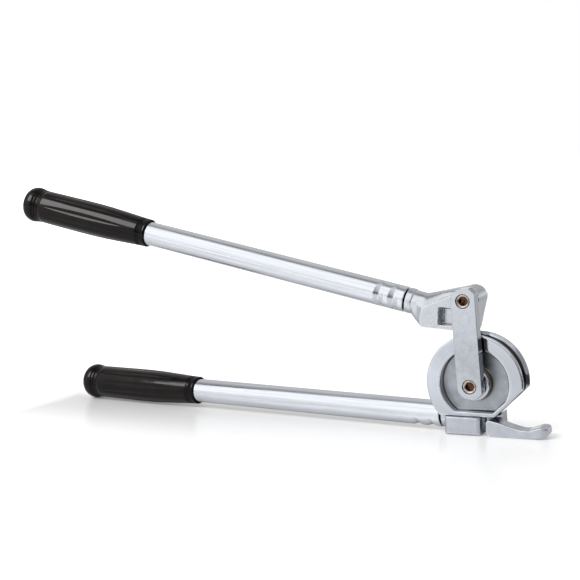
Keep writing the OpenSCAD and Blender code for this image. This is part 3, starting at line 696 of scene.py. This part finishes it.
def pale_floor():
    """Pale acrylic sheet on a dark bench: white to the eye and in reflections, with the tool's shadow on it.
    It glows though it is no lamp: less under the tool, which paints shade there, more behind the tool, which
    paints over the tool's cast shadow, and in reflections, which paints a sheen.

    Places are in metres, and levels of glow are strengths of emission.
    """
    material, add, place = new_material("pale_acrylic_floor")
    camera_ray, glossy_ray = (add("LightPath", out=ray) for ray in ("Is Camera Ray", "Is Glossy Ray"))
    x, y = (add("SeparateXYZ", (place,), out=axis) for axis in "XY")
    ways = (BEHIND_HANDLE, TO_EDGE, TO_FRONT)
    from_tool, to_edge, to_front = (add("VectorMath", (place, way), **ALONG) for way in ways)
    distance = add("VectorMath", (place,), operation="LENGTH", out="Value")
    # The sheet ends towards the camera's right, outside the picture, and the dark bench shows in reflections
    sheet = add("MapRange", (to_edge, 0.19, 0.14), **SOFT)
    shown = add("Math", (sheet, camera_ray), operation="MAXIMUM")
    colour = add("Mix", {"Factor": shown, "A": srgb("3f3f3f"), "B": srgb("c4c4c4")}, **COLOURS)
    # Painted light: the sheet glows more away from the tool, so that it stays white to the eye; the weaker
    # glow under the tool paints shade there, and the stronger glow behind it paints over the tool's shadow
    beside = 0.0
    edges = ((from_tool, -0.01, 0.03), (from_tool, -0.03, -0.13), (x, 0.05, 0.1), (x, -0.42, -0.45))
    for step in edges:
        beside = add("Math", (beside, add("MapRange", step, **SOFT)), operation="MAXIMUM")
    under_tool = add("MapRange", (x, -0.42, 0.04, 0.05, 0.28), **SOFT)
    around_tool = add("MapRange", (from_tool, -0.05, 0.08, 0.34, 0.6), **SOFT)
    near_glow = add("Mix", {"Factor": beside, "A": under_tool, "B": around_tool})
    far_glow = add("MapRange", (distance, 0.4, 3.0, 0.0, 0.6), **SOFT)
    to_eye = add("Math", (camera_ray, add("Math", (near_glow, far_glow))), **TIMES)
    # Painted reflection: the sheet glows for reflections only, brightest close to the wheel and again far
    # before it
    sheen = zone(
        add, (to_front, -0.06, 0.03), (to_front, 0.08, 0.13, 0.26, 0.02), (y, -0.08, -0.22, 0.3, 1.0), unit=1
    )
    for step in ((to_front, 0.17, 0.24, 0.0, 0.17), (distance, 1.2, 3.5, 0.0, 0.6)):
        sheen = add("Math", (sheen, add("MapRange", step, **SOFT)))
    to_mirrors = add("Math", (glossy_ray, sheen), **TIMES)
    glow = add("Math", (add("Math", (to_eye, to_mirrors)), shown), **TIMES)
    shader = add("BsdfPrincipled", {
        "Base Color": colour, "Roughness": 0.26, "Specular IOR Level": add("Math", (sheet, 0.42), **TIMES),
        "Emission Color": srgb("ffffff"), "Emission Strength": glow,
    })
    add("OutputMaterial", {"Surface": shader})
    return material


def studio_room():
    """The room that metal mirrors, painted by direction; the camera sees it white."""
    world = bpy.data.worlds.new("studio")
    world.use_nodes = True
    world.node_tree.nodes.clear()
    add = functools.partial(add_node, world.node_tree)
    way = add("TexCoord", out="Generated")
    side, depth, height = (add("SeparateXYZ", (way,), out=axis) for axis in "XYZ")
    skewed = add("VectorMath", (way, (1.0, 0.0, -0.8)), **ALONG)
    # White paper behind, grey above it and paler again higher up; grey before the tool
    paper_edge = add("MapRange", (height, 0.13, 0.2, 1.0, 0.45), **SOFT)
    above = add("MapRange", (height, 0.27, 0.45, 0.0, 0.27), **SOFT)
    paper = zone(add, (side, 0.2, 0.6, 1.0, 0.75), strength=add("Math", (paper_edge, above)), unit=1)
    before = add("MapRange", (side, -0.15, 0.25, 0.3, 0.44), **SOFT)
    behind = add("MapRange", (depth, 0.0, 0.45), **SOFT)
    sky = add("Mix", {"Factor": behind, "A": before, "B": paper}, **COLOURS)
    # Grey room at the right front
    grey_side = zone(add, (skewed, 0.15, 0.5), (depth, 0.2, -0.1), unit=1)
    # Large window of white cloth at the left front, up to the ceiling, with a brighter round lamp before it
    window = zone(add, (depth, -0.05, -0.3), (skewed, 0.3, -0.05), unit=1)
    lamp_way = Vector((-0.45, -0.62, 0.64)).normalized()
    round_lamp = add("MapRange", (add("VectorMath", (way, lamp_way), **ALONG), 0.77, 0.86), **SOFT)
    camera_ray = add("LightPath", out="Is Camera Ray")
    masks = (grey_side, window, round_lamp, camera_ray)
    for mask, level in zip(masks, (GREY_SIDE, WINDOW, ROUND_LAMP, BACKDROP)):
        sky = add("Mix", {"Factor": mask, "A": sky, "B": (level, level, level, 1.0)}, **COLOURS)
    add("OutputWorld", {"Surface": add("Background", {"Color": sky, "Strength": 1.0})})
    return world


floor = bmesh.new()
bmesh.ops.create_grid(floor, x_segments=1, y_segments=1, size=8.0)
floor_mesh = bpy.data.meshes.new("floor")
floor.to_mesh(floor_mesh)
floor.free()
floor_mesh.materials.append(pale_floor())
floor_object = bpy.data.objects.new("floor", floor_mesh)
bpy.context.collection.objects.link(floor_object)
bpy.context.scene.world = studio_room()

# The lamp lights the floor and the vinyl; plated metal mirrors the round lamp of the room instead
lamp = bpy.data.lights.new("soft_box", "AREA")
lamp.shape = "RECTANGLE"
lamp.size, lamp.size_y = 1.1, 1.05
lamp.energy = 38.0
lamp_place, lamp_aim = Vector((-0.98, -1.17, 1.36)), Vector((-0.2, 0.0, 0.12))
soft_box = bpy.data.objects.new("soft_box", lamp)
soft_box.location = lamp_place
soft_box.rotation_euler = (lamp_aim - lamp_place).to_track_quat("-Z", "Y").to_euler()
bpy.context.collection.objects.link(soft_box)
lit = bpy.data.collections.new("lit_by_soft_box")
for obj in (floor_object, upper_vinyl, lower_vinyl):
    lit.objects.link(obj)
soft_box.light_linking.receiver_collection = lit

# Camera at the photograph's place, for a square picture
camera = bpy.data.cameras.new("camera")
camera.sensor_width = 36.0
camera.lens = 80.03
camera.clip_start, camera.clip_end = 0.05, 50.0
camera_object = bpy.data.objects.new("camera", camera)
bpy.context.collection.objects.link(camera_object)
right, up, back = (0.9005, 0.4326, -0.0451), (-0.0115, 0.1275, 0.9918), (0.4347, -0.8926, 0.1198)
eye = Vector((313.7, -981.8, 245.8)) * MM
camera_object.matrix_world = Matrix.Translation(eye) @ Matrix((right, up, back)).transposed().to_4x4()
bpy.context.scene.camera = camera_object
bpy.context.scene.view_settings.view_transform = "Standard"
